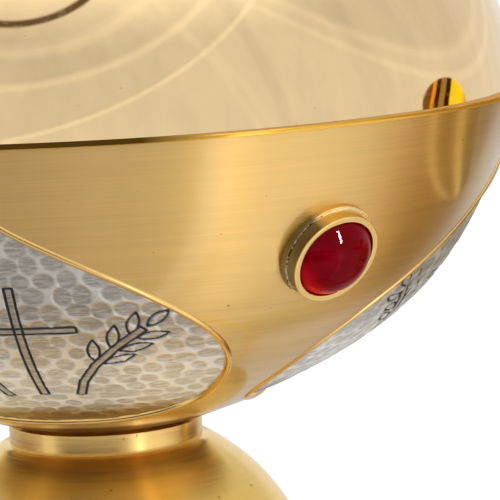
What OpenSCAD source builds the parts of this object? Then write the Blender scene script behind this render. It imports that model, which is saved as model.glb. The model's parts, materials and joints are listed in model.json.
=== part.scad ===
// Combination monstrance: a gilt cup on a knopped stem, a lift-off domed cover,
// and a round glazed luna with a sunburst standing on the cover.
// Origin at the centre of the foot's resting face, +Z up, the front looks along -Y.

/* [Cup] */
// Outer radius of the cup at its lip
rim_r = 68; // [60:1:76]
// Height of the cup's lip above the table
rim_z = 165; // [160:1:180]
// Thickness of the satin outer shell
shell_wall = 1.6; // [1.4:0.1:2]
// Thickness of the polished inner cup
liner_wall = 0.8; // [0.6:0.1:1]
// Height of the polished lip
lip_h = 0.7; // [0.5:0.1:1]

/* [Silver panels] */
// How far each panel lies below the gold surface
panel_sunk = 0.35; // [0.2:0.05:0.5]
// Thickness of each silver panel
panel_wall = 0.55; // [0.4:0.05:0.6]
// Half of the angle that a panel spans at its widest
panel_half_angle = 38; // [30:1:40]
// Width of the burnished wire around each panel
border_w = 0.9; // [0.6:0.1:1.2]

/* [Stones] */
// Diameter of the cabochons on the cup
stone_d = 12; // [8:1:14]
// Depth of their centres below the lip
stone_depth = 18.7; // [16:0.1:22]
// Height of their settings above the cup's surface
bezel_h = 2.4; // [2:0.1:3]

/* [Stem and foot] */
// Radius of the spherical knop
knop_r = 32.6; // [30:0.1:35]
// Radius of the plain rings above and below the knop
ring_r = 15.15; // [14.5:0.05:16]
// Height of those rings
ring_h = 3.3; // [2.5:0.1:4]
// Radius of the foot
foot_r = 75; // [72:1:85]

/* [Cover and luna] */
// Height of the dome above the lip
dome_h = 56; // [50:1:60]
// Outer radius of the luna's case
case_r = 33; // [32:1:34]
// Half of the case's depth, front to back
case_half = 10; // [10:0.5:12]
// Number of equal steps that the rays are set out on
ray_steps = 32; // [24:8:40]
// Length of the long rays from the luna's centre
ray_long = 66; // [62:1:68]
// Length of the short rays from the luna's centre
ray_short = 59; // [55:1:60]

/* [Hidden] */
$fn = 96;
QUARTERS = ["front", "right", "back", "left"];

// Cup
cup_depth = 49;
cup_bottom_z = rim_z - cup_depth;
liner_gap = 0.1;
profile_steps = 14;
panel_top = 0.157 * rim_r;
panel_wide = 0.589 * rim_r;
panel_low = 0.680 * rim_r;
panel_bed = panel_sunk + panel_wall;
bezel_r = stone_d / 2 + 1;
flange_r = bezel_r + 0.5;
stone_bulge = 3.6;
seat_sunk = 0.5;

// Stem
rod_r = 3;
rod_hole_r = 3.2;
disc_r = 13.3;
disc_h = 1.1;
neck_ring_top = cup_bottom_z - disc_h;
knop_top = neck_ring_top - ring_h;
knop_end_r = 16.5;
knop_half = sqrt(pow(knop_r, 2) - pow(knop_end_r, 2));
knop_z = knop_top - knop_half;
knop_bottom = knop_z - knop_half;
knop_wall = 1.2;
lower_disc_top = knop_bottom - ring_h;
foot_top = lower_disc_top - disc_h;
foot_wall = 1.6;
foot_neck_r = 14.6;
foot_edge_h = 3.5;
flare_r = 48;
flare_z = 16;
flare_power = 2.6;
flare_steps = 9;
band_out = [foot_r - 4.5, 5];
band_in = [flare_r + 5, 12.6];
nut_r = 5.8;
nut_h = 5;
washer_h = 1.2;
foot_washer_r = 9;

// Cover
dome_r = rim_r - 1.8;
dome_wall = 0.9;
dome_steps = 15;
dome_top = rim_z + dome_h;
bearing_r = rim_r - 4.6;
collar_r = 11;
collar_top = dome_top + 2.5;
luna_z = dome_top + 65;
post_r = 5;
post_ring_r = 6.5;
post_slot = post_ring_r + 0.2;
post_washer_r = 6.5;
post_washer_top = dome_top - dome_wall - 0.35;

// Luna
plate_t = 1.6;
plate_r = 48;
case_wall = 2;
case_in = case_r - case_wall;
window_r = case_in - 2.5;
glory_in = 35.6;
glory_out = 46.4;
glory_t = 0.7;
glory_stone_r = 3.5;
glory_mid = (glory_in + glory_out) / 2;
door_front = case_half + 0.3;
door_back = door_front + 2.5;
hinge_x = -(case_r + 3);
hinge_y = door_front + 1.25;
knuckle_r = 2;
knuckle_half = 4;
knuckle_gap = 0.3;
pin_r = 0.95;
running = 0.05;
latch_x = case_r + 4.5;
latch_front = door_back + 0.5;
latch_t = 1.4;
crescent_r = 20;
crescent_t = 1.2;
crescent_gap = 0.4;
clip_z = -22.5;
clip_y = crescent_gap + crescent_t / 2;
peg_r = 1.5;
peg_bottom = -30;
socket_top = -26;

// ---- The cup's wall: radius and slope at a depth below the lip ----

function cup_r(depth) =
    rim_r * (1 - 0.40 * depth / rim_r - 1.77 * pow(depth / rim_r, 4.12));
function cup_slope(depth) =
    atan(0.40 + 1.77 * 4.12 * pow(depth / rim_r, 3.12));
// A point of the wall's section, a distance in from the outer surface
function cup_point(depth, inset) =
    [cup_r(depth) - inset * cos(cup_slope(depth)),
     rim_z - depth + inset * sin(cup_slope(depth))];

// Section of a layer of the wall between two insets and two depths
function cup_layer(out, in, top, low) =
    [for (i = [0:profile_steps]) cup_point(top + (low - top) * i / profile_steps, out),
     for (i = [profile_steps:-1:0]) cup_point(top + (low - top) * i / profile_steps, in)];

// ---- Outline of a panel seen from its front: an ogee above, round ends below ----

function flank_angle(depth) = depth < panel_wide
    ? panel_half_angle * sin(90 * pow((depth - panel_top) / (panel_wide - panel_top), 1.18))
    : panel_half_angle * pow(1 - pow((depth - panel_wide) / (panel_low - panel_wide), 2.8), 1 / 2.8);
function flank_point(depth, side) =
    [side * cup_r(depth) * sin(flank_angle(depth)), rim_z - depth];
flank_depths = concat(
    [for (i = [1:11]) panel_top + (panel_wide - panel_top) * i / 11],
    [for (a = [28, 50, 68, 80]) panel_wide + (panel_low - panel_wide) * sin(a)]);
panel_outline = concat(
    [[0, rim_z - panel_top]],
    [for (d = flank_depths) flank_point(d, 1)],
    [for (i = [len(flank_depths) - 1:-1:0]) flank_point(flank_depths[i], -1)]);

// The same outline moved in by a distance, each point along its own normal
function moved_in(path, distance) =
    [for (i = [0:len(path) - 1])
        let (before = path[(i + len(path) - 1) % len(path)],
             after = path[(i + 1) % len(path)],
             along = (after - before) / norm(after - before))
        path[i] + distance * [along[1], -along[0]]];

module panel_prism(distance) {
    rotate([90, 0, 0])
        linear_extrude(height = rim_r + 5)
            polygon(moved_in(panel_outline, distance));
}

module cup_ring(out, in, top, low) {
    rotate_extrude() polygon(cup_layer(out, in, top, low));
}

// Places a child with its +Z out of the cup at a stone, for one of the four
module at_stone(q) {
    point = cup_point(stone_depth, 0);
    rotate([0, 0, 90 * q - 45])
        translate([point[0], 0, point[1]])
            rotate([0, 90 + cup_slope(stone_depth), 0])
                children();
}

module disc(r, bottom, height, hole = 0) {
    translate([0, 0, bottom])
        difference() {
            cylinder(r = r, h = height);
            if (hole > 0)
                translate([0, 0, -1]) cylinder(r = hole, h = height + 2);
        }
}

// A ring about the luna's front-to-back axis, from a section in radius and depth
module luna_ring(section) {
    translate([0, 0, luna_z])
        rotate([-90, 0, 0])
            rotate_extrude() polygon(section);
}

// A disc about the luna's axis between two depths, front to back
module luna_disc(r, front, back) {
    luna_ring([[0, front], [r, front], [r, back], [0, back]]);
}

// ---- Foot ----

function flare_point(z, inset) =
    [foot_neck_r - inset + (flare_r - foot_neck_r) * pow((foot_top - z) / (foot_top - flare_z), flare_power), z];

module foot_edge_ring() {
    color("gold")
        rotate_extrude()
            difference() {
                union() {
                    translate([foot_r - 4.5, 0]) square([3, foot_edge_h]);
                    translate([foot_r - foot_edge_h / 2, foot_edge_h / 2]) circle(d = foot_edge_h);
                }
                translate([0, -1]) square([foot_r - 4.5, foot_edge_h + 2]);
            }
}

module foot_shell() {
    color("goldenrod")
        difference() {
            rotate_extrude()
                polygon(concat(
                    [[foot_r - 1.6, foot_edge_h], [foot_r - 2.6, foot_edge_h + 1.2], band_out + [0.4, 0],
                     band_out + [-0.5, -0.7], band_in + [0.5, -0.7], band_in, [flare_r + 2, 14.2],
                     [flare_r + 1.4, 15.8], [flare_r + 0.2, 16]],
                    [for (i = [0:flare_steps]) flare_point(flare_z + (foot_top - flare_z) * i / flare_steps, 0)],
                    [[0, foot_top], [0, foot_top - foot_wall], [foot_washer_r + 2, foot_top - foot_wall]],
                    [for (i = [flare_steps - 1:-1:0])
                        flare_point(flare_z + (foot_top - flare_z) * i / flare_steps, foot_wall)],
                    [[flare_r, 12.2], [flare_r + 4, 10.2], [foot_r - 5.5, 2.6], [foot_r - 5.5, 0.6],
                     [foot_r - 4.5, 0.6], [foot_r - 4.5, foot_edge_h]]));
            translate([0, 0, foot_top - 5]) cylinder(r = rod_hole_r, h = 10);
        }
}

module foot_band() {
    color("silver")
        rotate_extrude()
            polygon([band_out + [-0.6, -0.55], band_in + [0.4, -0.55],
                     band_in + [0.6, -0.05], band_out + [-0.4, -0.05]]);
}

module foot_washer() {
    color("goldenrod") disc(foot_washer_r, foot_top - foot_wall - washer_h, washer_h, rod_hole_r);
}

module foot_nut() {
    color("goldenrod")
        translate([0, 0, foot_top - foot_wall - washer_h - nut_h])
            difference() {
                cylinder(r = nut_r, h = nut_h, $fn = 6);
                translate([0, 0, -1]) cylinder(r = rod_r, h = nut_h + 2);
            }
}

// ---- Stem ----

module tie_rod() {
    rod_bottom = foot_top - foot_wall - washer_h - nut_h - 3;
    color("goldenrod")
        disc(rod_r, rod_bottom, cup_bottom_z + shell_wall + liner_gap - rod_bottom);
}

module lower_disc() {
    color("darkgoldenrod") disc(disc_r, foot_top, disc_h, rod_hole_r);
}

module lower_ring() {
    color("gold") disc(ring_r, lower_disc_top, ring_h, rod_hole_r);
}

module knop() {
    color("goldenrod")
        difference() {
            intersection() {
                translate([0, 0, knop_z]) sphere(r = knop_r);
                translate([0, 0, knop_bottom]) cylinder(r = knop_r + 1, h = knop_top - knop_bottom);
            }
            intersection() {
                translate([0, 0, knop_z]) sphere(r = knop_r - knop_wall);
                translate([0, 0, knop_bottom + knop_wall])
                    cylinder(r = knop_r + 1, h = knop_top - knop_bottom - 2 * knop_wall);
            }
            translate([0, 0, knop_bottom - 1]) cylinder(r = rod_hole_r, h = 2 * knop_r);
        }
}

module stem_sleeve() {
    color("goldenrod")
        disc(6, knop_bottom + knop_wall, knop_top - knop_bottom - 2 * knop_wall, rod_hole_r);
}

module neck_ring() {
    color("gold") disc(ring_r, knop_top, ring_h, rod_hole_r);
}

module neck_disc() {
    color("darkgoldenrod") disc(disc_r, neck_ring_top, disc_h, rod_hole_r);
}

// ---- Cup ----

module cup_shell() {
    color("goldenrod")
        difference() {
            rotate_extrude()
                polygon(concat(
                    [for (i = [0:profile_steps])
                        cup_point(lip_h + (cup_depth - lip_h) * i / profile_steps, 0)],
                    [[0, cup_bottom_z], [0, cup_bottom_z + shell_wall]],
                    [for (i = [profile_steps - 2:-1:1])
                        cup_point(lip_h + (cup_depth - lip_h) * i / profile_steps, shell_wall)],
                    [[cup_point(lip_h, shell_wall)[0], rim_z - lip_h]]));
            translate([0, 0, cup_bottom_z - 1]) cylinder(r = rod_hole_r, h = shell_wall + 2);
            for (q = [0:3])
                rotate([0, 0, 90 * q])
                    intersection() {
                        cup_ring(-1, panel_bed, panel_top - 2, panel_low + 1);
                        panel_prism(0);
                    }
            for (q = [0:3])
                at_stone(q) translate([0, 0, -seat_sunk]) cylinder(r = flange_r, h = 5);
        }
}

module cup_liner() {
    out = shell_wall + liner_gap;
    in = out + liner_wall;
    color("khaki")
        rotate_extrude()
            polygon(concat(
                [[rim_r, rim_z], [rim_r, rim_z - lip_h], [cup_point(lip_h, out)[0], rim_z - lip_h]],
                [for (i = [1:profile_steps - 2]) cup_point(lip_h + (cup_depth - lip_h) * i / profile_steps, out)],
                [[0, cup_bottom_z + out], [0, cup_bottom_z + in]],
                [for (i = [profile_steps - 2:-1:1])
                    cup_point(lip_h + (cup_depth - lip_h) * i / profile_steps, in)],
                [[cup_point(0, in)[0], rim_z]]));
}

module panel(q) {
    color("silver")
        rotate([0, 0, 90 * q])
            intersection() {
                cup_ring(panel_sunk, panel_bed, panel_top - 2, panel_low + 1);
                panel_prism(border_w);
            }
}

module border(q) {
    color("gold")
        rotate([0, 0, 90 * q])
            intersection() {
                cup_ring(-0.15, panel_bed, panel_top - 2, panel_low + 1);
                difference() {
                    panel_prism(0);
                    panel_prism(border_w);
                }
            }
}

module bezel(q) {
    color("gold")
        at_stone(q)
            difference() {
                union() {
                    translate([0, 0, -seat_sunk]) cylinder(r = flange_r, h = seat_sunk + 0.5);
                    translate([0, 0, -seat_sunk]) cylinder(r = bezel_r, h = seat_sunk + bezel_h);
                }
                translate([0, 0, 0.5]) cylinder(r = stone_d / 2 + running, h = bezel_h);
            }
}

module cabochon(radius, seat, face, bulge) {
    ball = (pow(radius, 2) + pow(bulge, 2)) / (2 * bulge);
    translate([0, 0, seat]) cylinder(r = radius, h = face - seat);
    translate([0, 0, face])
        intersection() {
            translate([0, 0, bulge - ball]) sphere(r = ball);
            cylinder(r = radius, h = bulge + 1);
        }
}

module stone(q) {
    color("crimson") at_stone(q) cabochon(stone_d / 2, 0.5, bezel_h - 0.4, stone_bulge);
}

// ---- Cover ----

function dome_point(angle, inset) =
    [(dome_r - inset) * cos(angle), rim_z + (dome_h - inset) * sin(angle)];

module dome_solid() {
    rotate_extrude()
        polygon(concat([[0, rim_z]], [for (i = [0:dome_steps]) dome_point(90 * i / dome_steps, 0)]));
}

module dome() {
    color("lemonchiffon")
        difference() {
            rotate_extrude()
                polygon(concat(
                    [for (i = [0:dome_steps]) dome_point(90 * i / dome_steps, 0)],
                    [for (i = [dome_steps:-1:0]) dome_point(90 * i / dome_steps, dome_wall)]));
            translate([0, 0, dome_top - 5]) cylinder(r = rod_hole_r, h = 10);
        }
}

module cover_bearing() {
    color("khaki")
        translate([0, 0, rim_z])
            rotate_extrude()
                polygon([[bearing_r - 1, -4], [bearing_r, -4], [bearing_r, 0.3],
                         [dome_r - dome_wall - 0.1, 0.3], [dome_r - dome_wall - 0.1, 1.3],
                         [bearing_r - 1, 1.3]]);
}

module dome_collar() {
    color("gold")
        difference() {
            disc(collar_r, dome_top - 2, collar_top - dome_top + 2, rod_hole_r);
            dome_solid();
        }
}

// Turned post with its screwed end through the dome and a saddle under the case
module luna_post() {
    color("goldenrod")
        difference() {
            union() {
                disc(rod_r, dome_top - 12, 15);
                translate([0, 0, collar_top])
                    rotate_extrude()
                        polygon([[0, 0], [8.5, 0], [8.5, 1.2], [5.2, 2.6], [3.8, 5], [post_r, 6.2],
                                 [post_r, 22], [post_ring_r, 23.5], [post_ring_r, 24.8], [post_r, 26], [post_r, 33], [0, 33]]);
                translate([0, 0, collar_top + 11]) sphere(r = 7.4);
            }
            translate([0, -20, luna_z]) rotate([-90, 0, 0]) cylinder(r = case_r, h = 40);
        }
}

module post_washer() {
    color("goldenrod") disc(post_washer_r, post_washer_top - washer_h, washer_h, rod_hole_r);
}

module post_nut() {
    color("goldenrod")
        translate([0, 0, post_washer_top - washer_h - nut_h])
            difference() {
                cylinder(r = nut_r, h = nut_h, $fn = 6);
                translate([0, 0, -1]) cylinder(r = rod_r, h = nut_h + 2);
            }
}

// ---- Luna ----

module hinge_pin() {
    reach = 2 * knuckle_half + knuckle_gap + 0.6;
    color("gold")
        translate([hinge_x, hinge_y, luna_z]) {
            translate([0, 0, -reach]) cylinder(r = pin_r, h = 2 * reach);
            for (side = [-1, 1])
                translate([0, 0, side * (reach + 0.7)]) sphere(r = 1.3);
        }
}

module knuckle(bottom, height) {
    translate([hinge_x, hinge_y, luna_z + bottom]) cylinder(r = knuckle_r, h = height);
}

module pin_bore() {
    translate([hinge_x, hinge_y, luna_z - 20]) cylinder(r = pin_r + running, h = 40);
}

module case_drum() {
    low = knuckle_half + knuckle_gap;
    color("goldenrod")
        difference() {
            union() {
                luna_ring([[case_in, -case_half], [case_r, -case_half], [case_r, case_half],
                           [case_in, case_half]]);
                luna_ring([[window_r, -case_half + 2], [case_in + 0.5, -case_half + 2],
                           [case_in + 0.5, -case_half + 3], [window_r, -case_half + 3]]);
                for (bottom = [low, -low - knuckle_half]) {
                    knuckle(bottom, knuckle_half);
                    translate([hinge_x - knuckle_r, 2, luna_z + bottom])
                        cube([knuckle_r * 2 + 0.6, hinge_y - 2, knuckle_half]);
                    translate([hinge_x, 2, luna_z + bottom])
                        cube([5, case_half - 2.5, knuckle_half]);
                }
            }
            pin_bore();
        }
}

module front_glass() {
    color([0.8, 0.9, 0.9, 0.4]) luna_disc(case_in - 0.2, -case_half + 0.5, -case_half + 2);
}

module front_bezel() {
    front = -case_half - 1.2;
    color("gold")
        luna_ring([[window_r, front], [case_r + 1.4, front], [case_r + 1.4, -case_half],
                   [case_in - 0.1, -case_half], [case_in - 0.1, -case_half + 0.5],
                   [window_r, -case_half + 0.5]]);
}

// Flat pointed ray, its root inside the plate's edge
module ray(angle, reach) {
    rotate([0, 0, angle])
        polygon([[plate_r - 1.5, -2.6], [reach - 2, -0.7], [reach, 0], [reach - 2, 0.7], [plate_r - 1.5, 2.6]]);
}

module sunburst() {
    step = 360 / ray_steps;
    free_below = 24;
    color("gold")
        translate([0, plate_t / 2, luna_z])
            rotate([90, 0, 0])
                linear_extrude(height = plate_t)
                    difference() {
                        union() {
                            circle(r = plate_r);
                            for (i = [1:ray_steps - 1])
                                if (abs(i * step - 180) > free_below)
                                    ray(90 + i * step, i % 2 == 0 ? ray_long : ray_short);
                        }
                        circle(r = case_r + running);
                        translate([-post_slot, -plate_r - 5]) square([2 * post_slot, plate_r]);
                    }
}

module glory_silver() {
    color("silver")
        difference() {
            luna_ring([[glory_in, -plate_t / 2 - glory_t], [glory_out, -plate_t / 2 - glory_t],
                       [glory_out, -plate_t / 2], [glory_in, -plate_t / 2]]);
            translate([-post_slot - 0.3, -10, luna_z - plate_r - 5]) cube([2 * post_slot + 0.6, 20, 20]);
        }
}

module glory_bead(radius) {
    color("gold")
        difference() {
            translate([0, -plate_t / 2 - 0.6, luna_z])
                rotate([90, 0, 0])
                    rotate_extrude() translate([radius, 0]) circle(r = 0.6, $fn = 24);
            translate([-post_slot - 0.3, -10, luna_z - plate_r - 5]) cube([2 * post_slot + 0.6, 20, 20]);
        }
}

module glory_bead_inner() {
    glory_bead(glory_in - 0.7);
}

module glory_bead_outer() {
    glory_bead(glory_out + 0.7);
}

// Places a child at each of the four stones of the glory, +Z towards the front
module at_glory_stones() {
    for (angle = [45:90:315])
        translate([glory_mid * sin(angle), -plate_t / 2 - glory_t, luna_z + glory_mid * cos(angle)])
            rotate([90, 0, 0]) children();
}

module glory_bezels() {
    color("gold")
        at_glory_stones()
            difference() {
                union() {
                    cylinder(r = glory_stone_r + 1.2, h = 0.5);
                    cylinder(r = glory_stone_r + 0.8, h = 1.8);
                }
                translate([0, 0, 0.5]) cylinder(r = glory_stone_r + running, h = 3);
            }
}

module glory_stones() {
    color("crimson") at_glory_stones() cabochon(glory_stone_r, 0.5, 1.5, 2);
}

// Latin cross with flared ends, standing on the plate's top edge
module top_cross() {
    foot_z = luna_z + plate_r;
    color("gold")
        translate([0, 1.2, foot_z])
            rotate([90, 0, 0])
                linear_extrude(height = 2.4)
                    union() {
                        polygon([[-3.4, 0], [3.4, 0], [1.7, 3], [1.3, 14], [2.6, 30.5], [-2.6, 30.5],
                                 [-1.3, 14], [-1.7, 3]]);
                        polygon([[-9.5, 16], [0, 17.2], [9.5, 16], [9.5, 21.2], [0, 20], [-9.5, 21.2]]);
                    }
}

// ---- Rear door ----

module door_frame() {
    color("gold")
        difference() {
            union() {
                luna_ring([[window_r - 1, door_front], [case_r, door_front], [case_r, door_back],
                           [case_in - 1, door_back], [case_in - 1, door_front + 1],
                           [window_r - 1, door_front + 1]]);
                knuckle(-knuckle_half, 2 * knuckle_half);
                translate([hinge_x, hinge_y - 0.85, luna_z - knuckle_half])
                    cube([4, 1.7, 2 * knuckle_half]);
            }
            pin_bore();
        }
}

module door_glass() {
    color([0.8, 0.9, 0.9, 0.4])
        luna_disc(case_in - 1.1, door_front + 1, door_back - 0.5);
}

module door_retainer() {
    color("goldenrod")
        luna_ring([[window_r, door_back - 0.5], [case_in - 1.1, door_back - 0.5],
                   [case_in - 1.1, door_back], [window_r, door_back]]);
}

module door_knob() {
    angle = 115;
    reach = case_r - 1.5;
    color("gold")
        translate([reach * sin(angle), door_back, luna_z + reach * cos(angle)])
            rotate([-90, 0, 0]) {
                cylinder(r = 0.9, h = 2.5);
                translate([0, 0, 3.4]) sphere(r = 1.6);
            }
}

// ---- Turn-button that holds the door shut ----

module latch_post() {
    color("goldenrod")
        translate([latch_x, plate_t / 2, luna_z])
            rotate([-90, 0, 0])
                difference() {
                    cylinder(r = 2, h = latch_front - plate_t / 2 - 0.1);
                    translate([0, 0, latch_front - 6]) cylinder(r = 0.8, h = 10);
                }
}

module latch_screw() {
    color("gold")
        translate([latch_x, 0, luna_z])
            rotate([-90, 0, 0]) {
                translate([0, 0, latch_front - 4]) cylinder(r = 0.8, h = 4 + latch_t + 0.2);
                translate([0, 0, latch_front + latch_t + 0.1]) cylinder(r = 1.9, h = 0.9);
            }
}

module latch_button() {
    arm = 9;
    color("gold")
        translate([latch_x, latch_front, luna_z])
            rotate([-90, 0, 0])
                difference() {
                    union() {
                        cylinder(r = 2.9, h = latch_t);
                        translate([-1.7, 0, 0]) cube([3.4, arm, latch_t]);
                        translate([0, arm, 0]) cylinder(r = 1.7, h = latch_t);
                    }
                    translate([0, 0, -1]) cylinder(r = 0.8 + running, h = latch_t + 2);
                }
}

// ---- Lunette: a socket in the case, a crescent on a peg, and a hinged rear crescent ----

module lunette_socket() {
    color("goldenrod")
        difference() {
            intersection() {
                translate([-6, -3, luna_z - case_in - 1]) cube([12, 6, case_in + 1 + socket_top]);
                translate([0, -5, luna_z]) rotate([-90, 0, 0]) cylinder(r = case_in, h = 10);
            }
            translate([0, 0, luna_z + peg_bottom - 0.3]) cylinder(r = peg_r + running, h = 10);
        }
}

module crescent(front) {
    translate([0, front + crescent_t, luna_z])
        rotate([90, 0, 0])
            linear_extrude(height = crescent_t)
                difference() {
                    circle(r = crescent_r);
                    translate([0, 4]) circle(r = crescent_r - 1);
                }
}

module clip_hole() {
    translate([-10, clip_y, luna_z + clip_z]) rotate([0, 90, 0]) cylinder(r = 0.6 + running, h = 20);
}

module lunette_front() {
    base_z = socket_top + 0.1;
    color("gold")
        difference() {
            union() {
                crescent(-crescent_gap - crescent_t);
                translate([0, 0, luna_z + peg_bottom]) cylinder(r = peg_r, h = base_z - peg_bottom + 0.5);
                translate([-4.5, -2.5, luna_z + base_z]) cube([9, 5.2, 1.3]);
                translate([-4.5, -2.5, luna_z + base_z]) cube([9, 1.5, 7.5]);
                for (x = [-4.1, 2.3]) {
                    translate([x, clip_y, luna_z + clip_z]) rotate([0, 90, 0]) cylinder(r = 1.7, h = 1.8);
                    translate([x, -1.5, luna_z + base_z]) cube([1.8, 3.4, -socket_top + clip_z]);
                }
            }
            clip_hole();
        }
}

module lunette_rear() {
    color("gold")
        difference() {
            union() {
                crescent(crescent_gap);
                translate([-2, clip_y, luna_z + clip_z]) rotate([0, 90, 0]) cylinder(r = 1.5, h = 4);
                translate([-2, crescent_gap, luna_z + clip_z]) cube([4, crescent_t, 5]);
            }
            clip_hole();
        }
}

module clip_pin() {
    color("gold")
        translate([-4.8, clip_y, luna_z + clip_z]) rotate([0, 90, 0]) cylinder(r = 0.6, h = 9.6);
}

// ---- The pieces ----

foot_edge_ring();
foot_shell();
foot_band();
foot_washer();
foot_nut();
tie_rod();
lower_disc();
lower_ring();
knop();
stem_sleeve();
neck_ring();
neck_disc();
cup_shell();
cup_liner();
for (q = [0:3]) {
    panel(q);
    border(q);
    bezel(q);
    stone(q);
}
dome();
cover_bearing();
dome_collar();
luna_post();
post_washer();
post_nut();
case_drum();
front_glass();
front_bezel();
sunburst();
glory_silver();
glory_bead_inner();
glory_bead_outer();
glory_bezels();
glory_stones();
top_cross();
hinge_pin();
door_frame();
door_glass();
door_retainer();
door_knob();
latch_post();
latch_screw();
latch_button();
lunette_socket();
lunette_front();
lunette_rear();
clip_pin();
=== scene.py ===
"""Looks of the combination monstrance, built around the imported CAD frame. Lengths are in metres."""
import json
import math

import bmesh
import bpy
import numpy as np
from mathutils import Matrix, Vector

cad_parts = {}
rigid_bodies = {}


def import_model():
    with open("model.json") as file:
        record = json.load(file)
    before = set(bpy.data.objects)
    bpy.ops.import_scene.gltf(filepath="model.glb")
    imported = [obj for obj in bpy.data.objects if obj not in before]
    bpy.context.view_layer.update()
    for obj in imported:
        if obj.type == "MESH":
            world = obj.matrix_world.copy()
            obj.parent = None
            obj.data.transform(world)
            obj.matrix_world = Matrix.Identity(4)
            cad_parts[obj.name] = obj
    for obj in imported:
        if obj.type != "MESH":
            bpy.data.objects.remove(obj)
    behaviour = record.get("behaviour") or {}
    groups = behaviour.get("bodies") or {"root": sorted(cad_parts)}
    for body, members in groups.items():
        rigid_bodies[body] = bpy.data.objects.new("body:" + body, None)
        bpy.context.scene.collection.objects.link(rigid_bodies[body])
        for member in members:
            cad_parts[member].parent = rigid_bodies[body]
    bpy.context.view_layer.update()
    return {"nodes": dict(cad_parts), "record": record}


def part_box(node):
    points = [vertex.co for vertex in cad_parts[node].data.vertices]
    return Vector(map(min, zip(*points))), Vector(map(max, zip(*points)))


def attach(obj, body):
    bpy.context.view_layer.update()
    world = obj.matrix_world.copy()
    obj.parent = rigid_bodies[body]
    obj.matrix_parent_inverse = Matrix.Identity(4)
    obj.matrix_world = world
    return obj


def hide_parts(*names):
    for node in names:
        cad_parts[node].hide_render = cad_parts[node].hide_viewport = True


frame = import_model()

MM = 0.001

# ---- Sizes, some read from the frame and the rest given ----

RIM_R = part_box("cup_liner")[1].x
RIM_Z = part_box("cup_liner")[1].z
LIP_H = RIM_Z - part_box("cup_shell")[1].z
CUP_DEPTH = RIM_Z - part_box("cup_shell")[0].z
STONE_DEPTH = 18.7 * MM
# A stone and its setting, from the cup's surface outwards, in mm
STONE_R = 5.98
STONE_SEAT = 0.66
STONE_GIRDLE = 2.02
STONE_BULGE = 3.6
SETTING_R = 7.0
SETTING_TOP = 2.4
# The wall's radius falls by CUP_CONE of the depth, and by CUP_CURVE at its power of the depth in rim radii
CUP_CONE = 0.40
CUP_CURVE = 1.77
CUP_POWER = 4.12
# Roundness of a panel's lower end: 2 is an ellipse, more is squarer
PANEL_ROUND = 2.8
PANEL_SUNK = 0.35 * MM
PANEL_HALF = math.radians(38)
PANEL_TOP = 0.157 * RIM_R
PANEL_WIDE = 0.589 * RIM_R
PANEL_LOW = 0.680 * RIM_R
QUARTERS = ("front", "right", "back", "left")
LUNA_Z = (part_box("front_bezel")[0].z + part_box("front_bezel")[1].z) / 2

# ---- Camera: the rim's centre seen from slightly above, 12 degrees right of a panel ----

CAMERA_AZIMUTH = math.radians(12.4)
CAMERA_DISTANCE = 7.046 * RIM_R
CAMERA_HEIGHT = 0.584 * RIM_R
CAMERA_YAW = 0.05002
CAMERA_PITCH = 0.13379
CAMERA_ROLL = -0.04753
CAMERA_LENS = 222.8


def make_camera():
    """A long lens at the photograph's viewing angle, aimed low and right of the rim's centre."""
    forward = Vector((math.sin(CAMERA_YAW) * math.cos(CAMERA_PITCH),
                      math.cos(CAMERA_YAW) * math.cos(CAMERA_PITCH),
                      -math.sin(CAMERA_PITCH)))
    level = Vector((math.cos(CAMERA_YAW), -math.sin(CAMERA_YAW), 0))
    up = level.cross(forward)
    right = math.cos(CAMERA_ROLL) * level + math.sin(CAMERA_ROLL) * up
    top = right.cross(forward)
    turn = Matrix.Rotation(CAMERA_AZIMUTH, 4, "Z")
    pose = Matrix((right, top, -forward)).transposed().to_4x4()
    place = Vector((0, -CAMERA_DISTANCE, CAMERA_HEIGHT))
    data = bpy.data.cameras.new("camera")
    data.sensor_width = 36
    data.lens = CAMERA_LENS
    data.clip_start = 0.01
    data.clip_end = 100
    camera = bpy.data.objects.new("camera", data)
    camera.matrix_world = Matrix.Translation((0, 0, RIM_Z)) @ turn @ Matrix.Translation(place) @ pose
    bpy.context.scene.collection.objects.link(camera)
    bpy.context.scene.camera = camera


# ---- The cup's wall ----

def cup_r(depth):
    return RIM_R * (1 - CUP_CONE * depth / RIM_R - CUP_CURVE * (depth / RIM_R) ** CUP_POWER)


def cup_slope(depth):
    return np.arctan(CUP_CONE + CUP_CURVE * CUP_POWER * (depth / RIM_R) ** (CUP_POWER - 1))


def cup_normal(depth, angle):
    slope = cup_slope(depth)
    return np.stack([np.cos(slope) * np.sin(angle), -np.cos(slope) * np.cos(angle), -np.sin(slope)], -1)


def cup_point(depth, angle, inset=0.0):
    """Points of the wall; angle runs from the front (-Y) towards +X, inset goes into the metal."""
    depth, angle, inset = np.broadcast_arrays(depth, angle, inset)
    r = cup_r(depth)
    outer = np.stack([r * np.sin(angle), -r * np.cos(angle), RIM_Z - depth], -1)
    return outer - inset[..., None] * cup_normal(depth, angle)


def arc_length(depth):
    """Length along the wall from the lip down to a depth."""
    fine = np.linspace(0, CUP_DEPTH, 2000)
    steps = np.hypot(np.diff(fine), np.diff(cup_r(fine)))
    return np.interp(depth, fine, np.concatenate([[0], np.cumsum(steps)]))


def depth_at(length):
    fine = np.linspace(0, CUP_DEPTH, 2000)
    return np.interp(length, arc_length(fine), fine)


def flank_angle(depth):
    """Half of the angle that a panel's outline spans at a depth."""
    upper = np.clip((depth - PANEL_TOP) / (PANEL_WIDE - PANEL_TOP), 0, 1)
    lower = np.clip((depth - PANEL_WIDE) / (PANEL_LOW - PANEL_WIDE), 0, 1)
    ogee = np.sin(math.pi / 2 * upper ** 1.18)
    round_end = np.clip(1 - lower ** PANEL_ROUND, 0, 1) ** (1 / PANEL_ROUND)
    return PANEL_HALF * np.where(depth < PANEL_WIDE, ogee, round_end)


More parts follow.
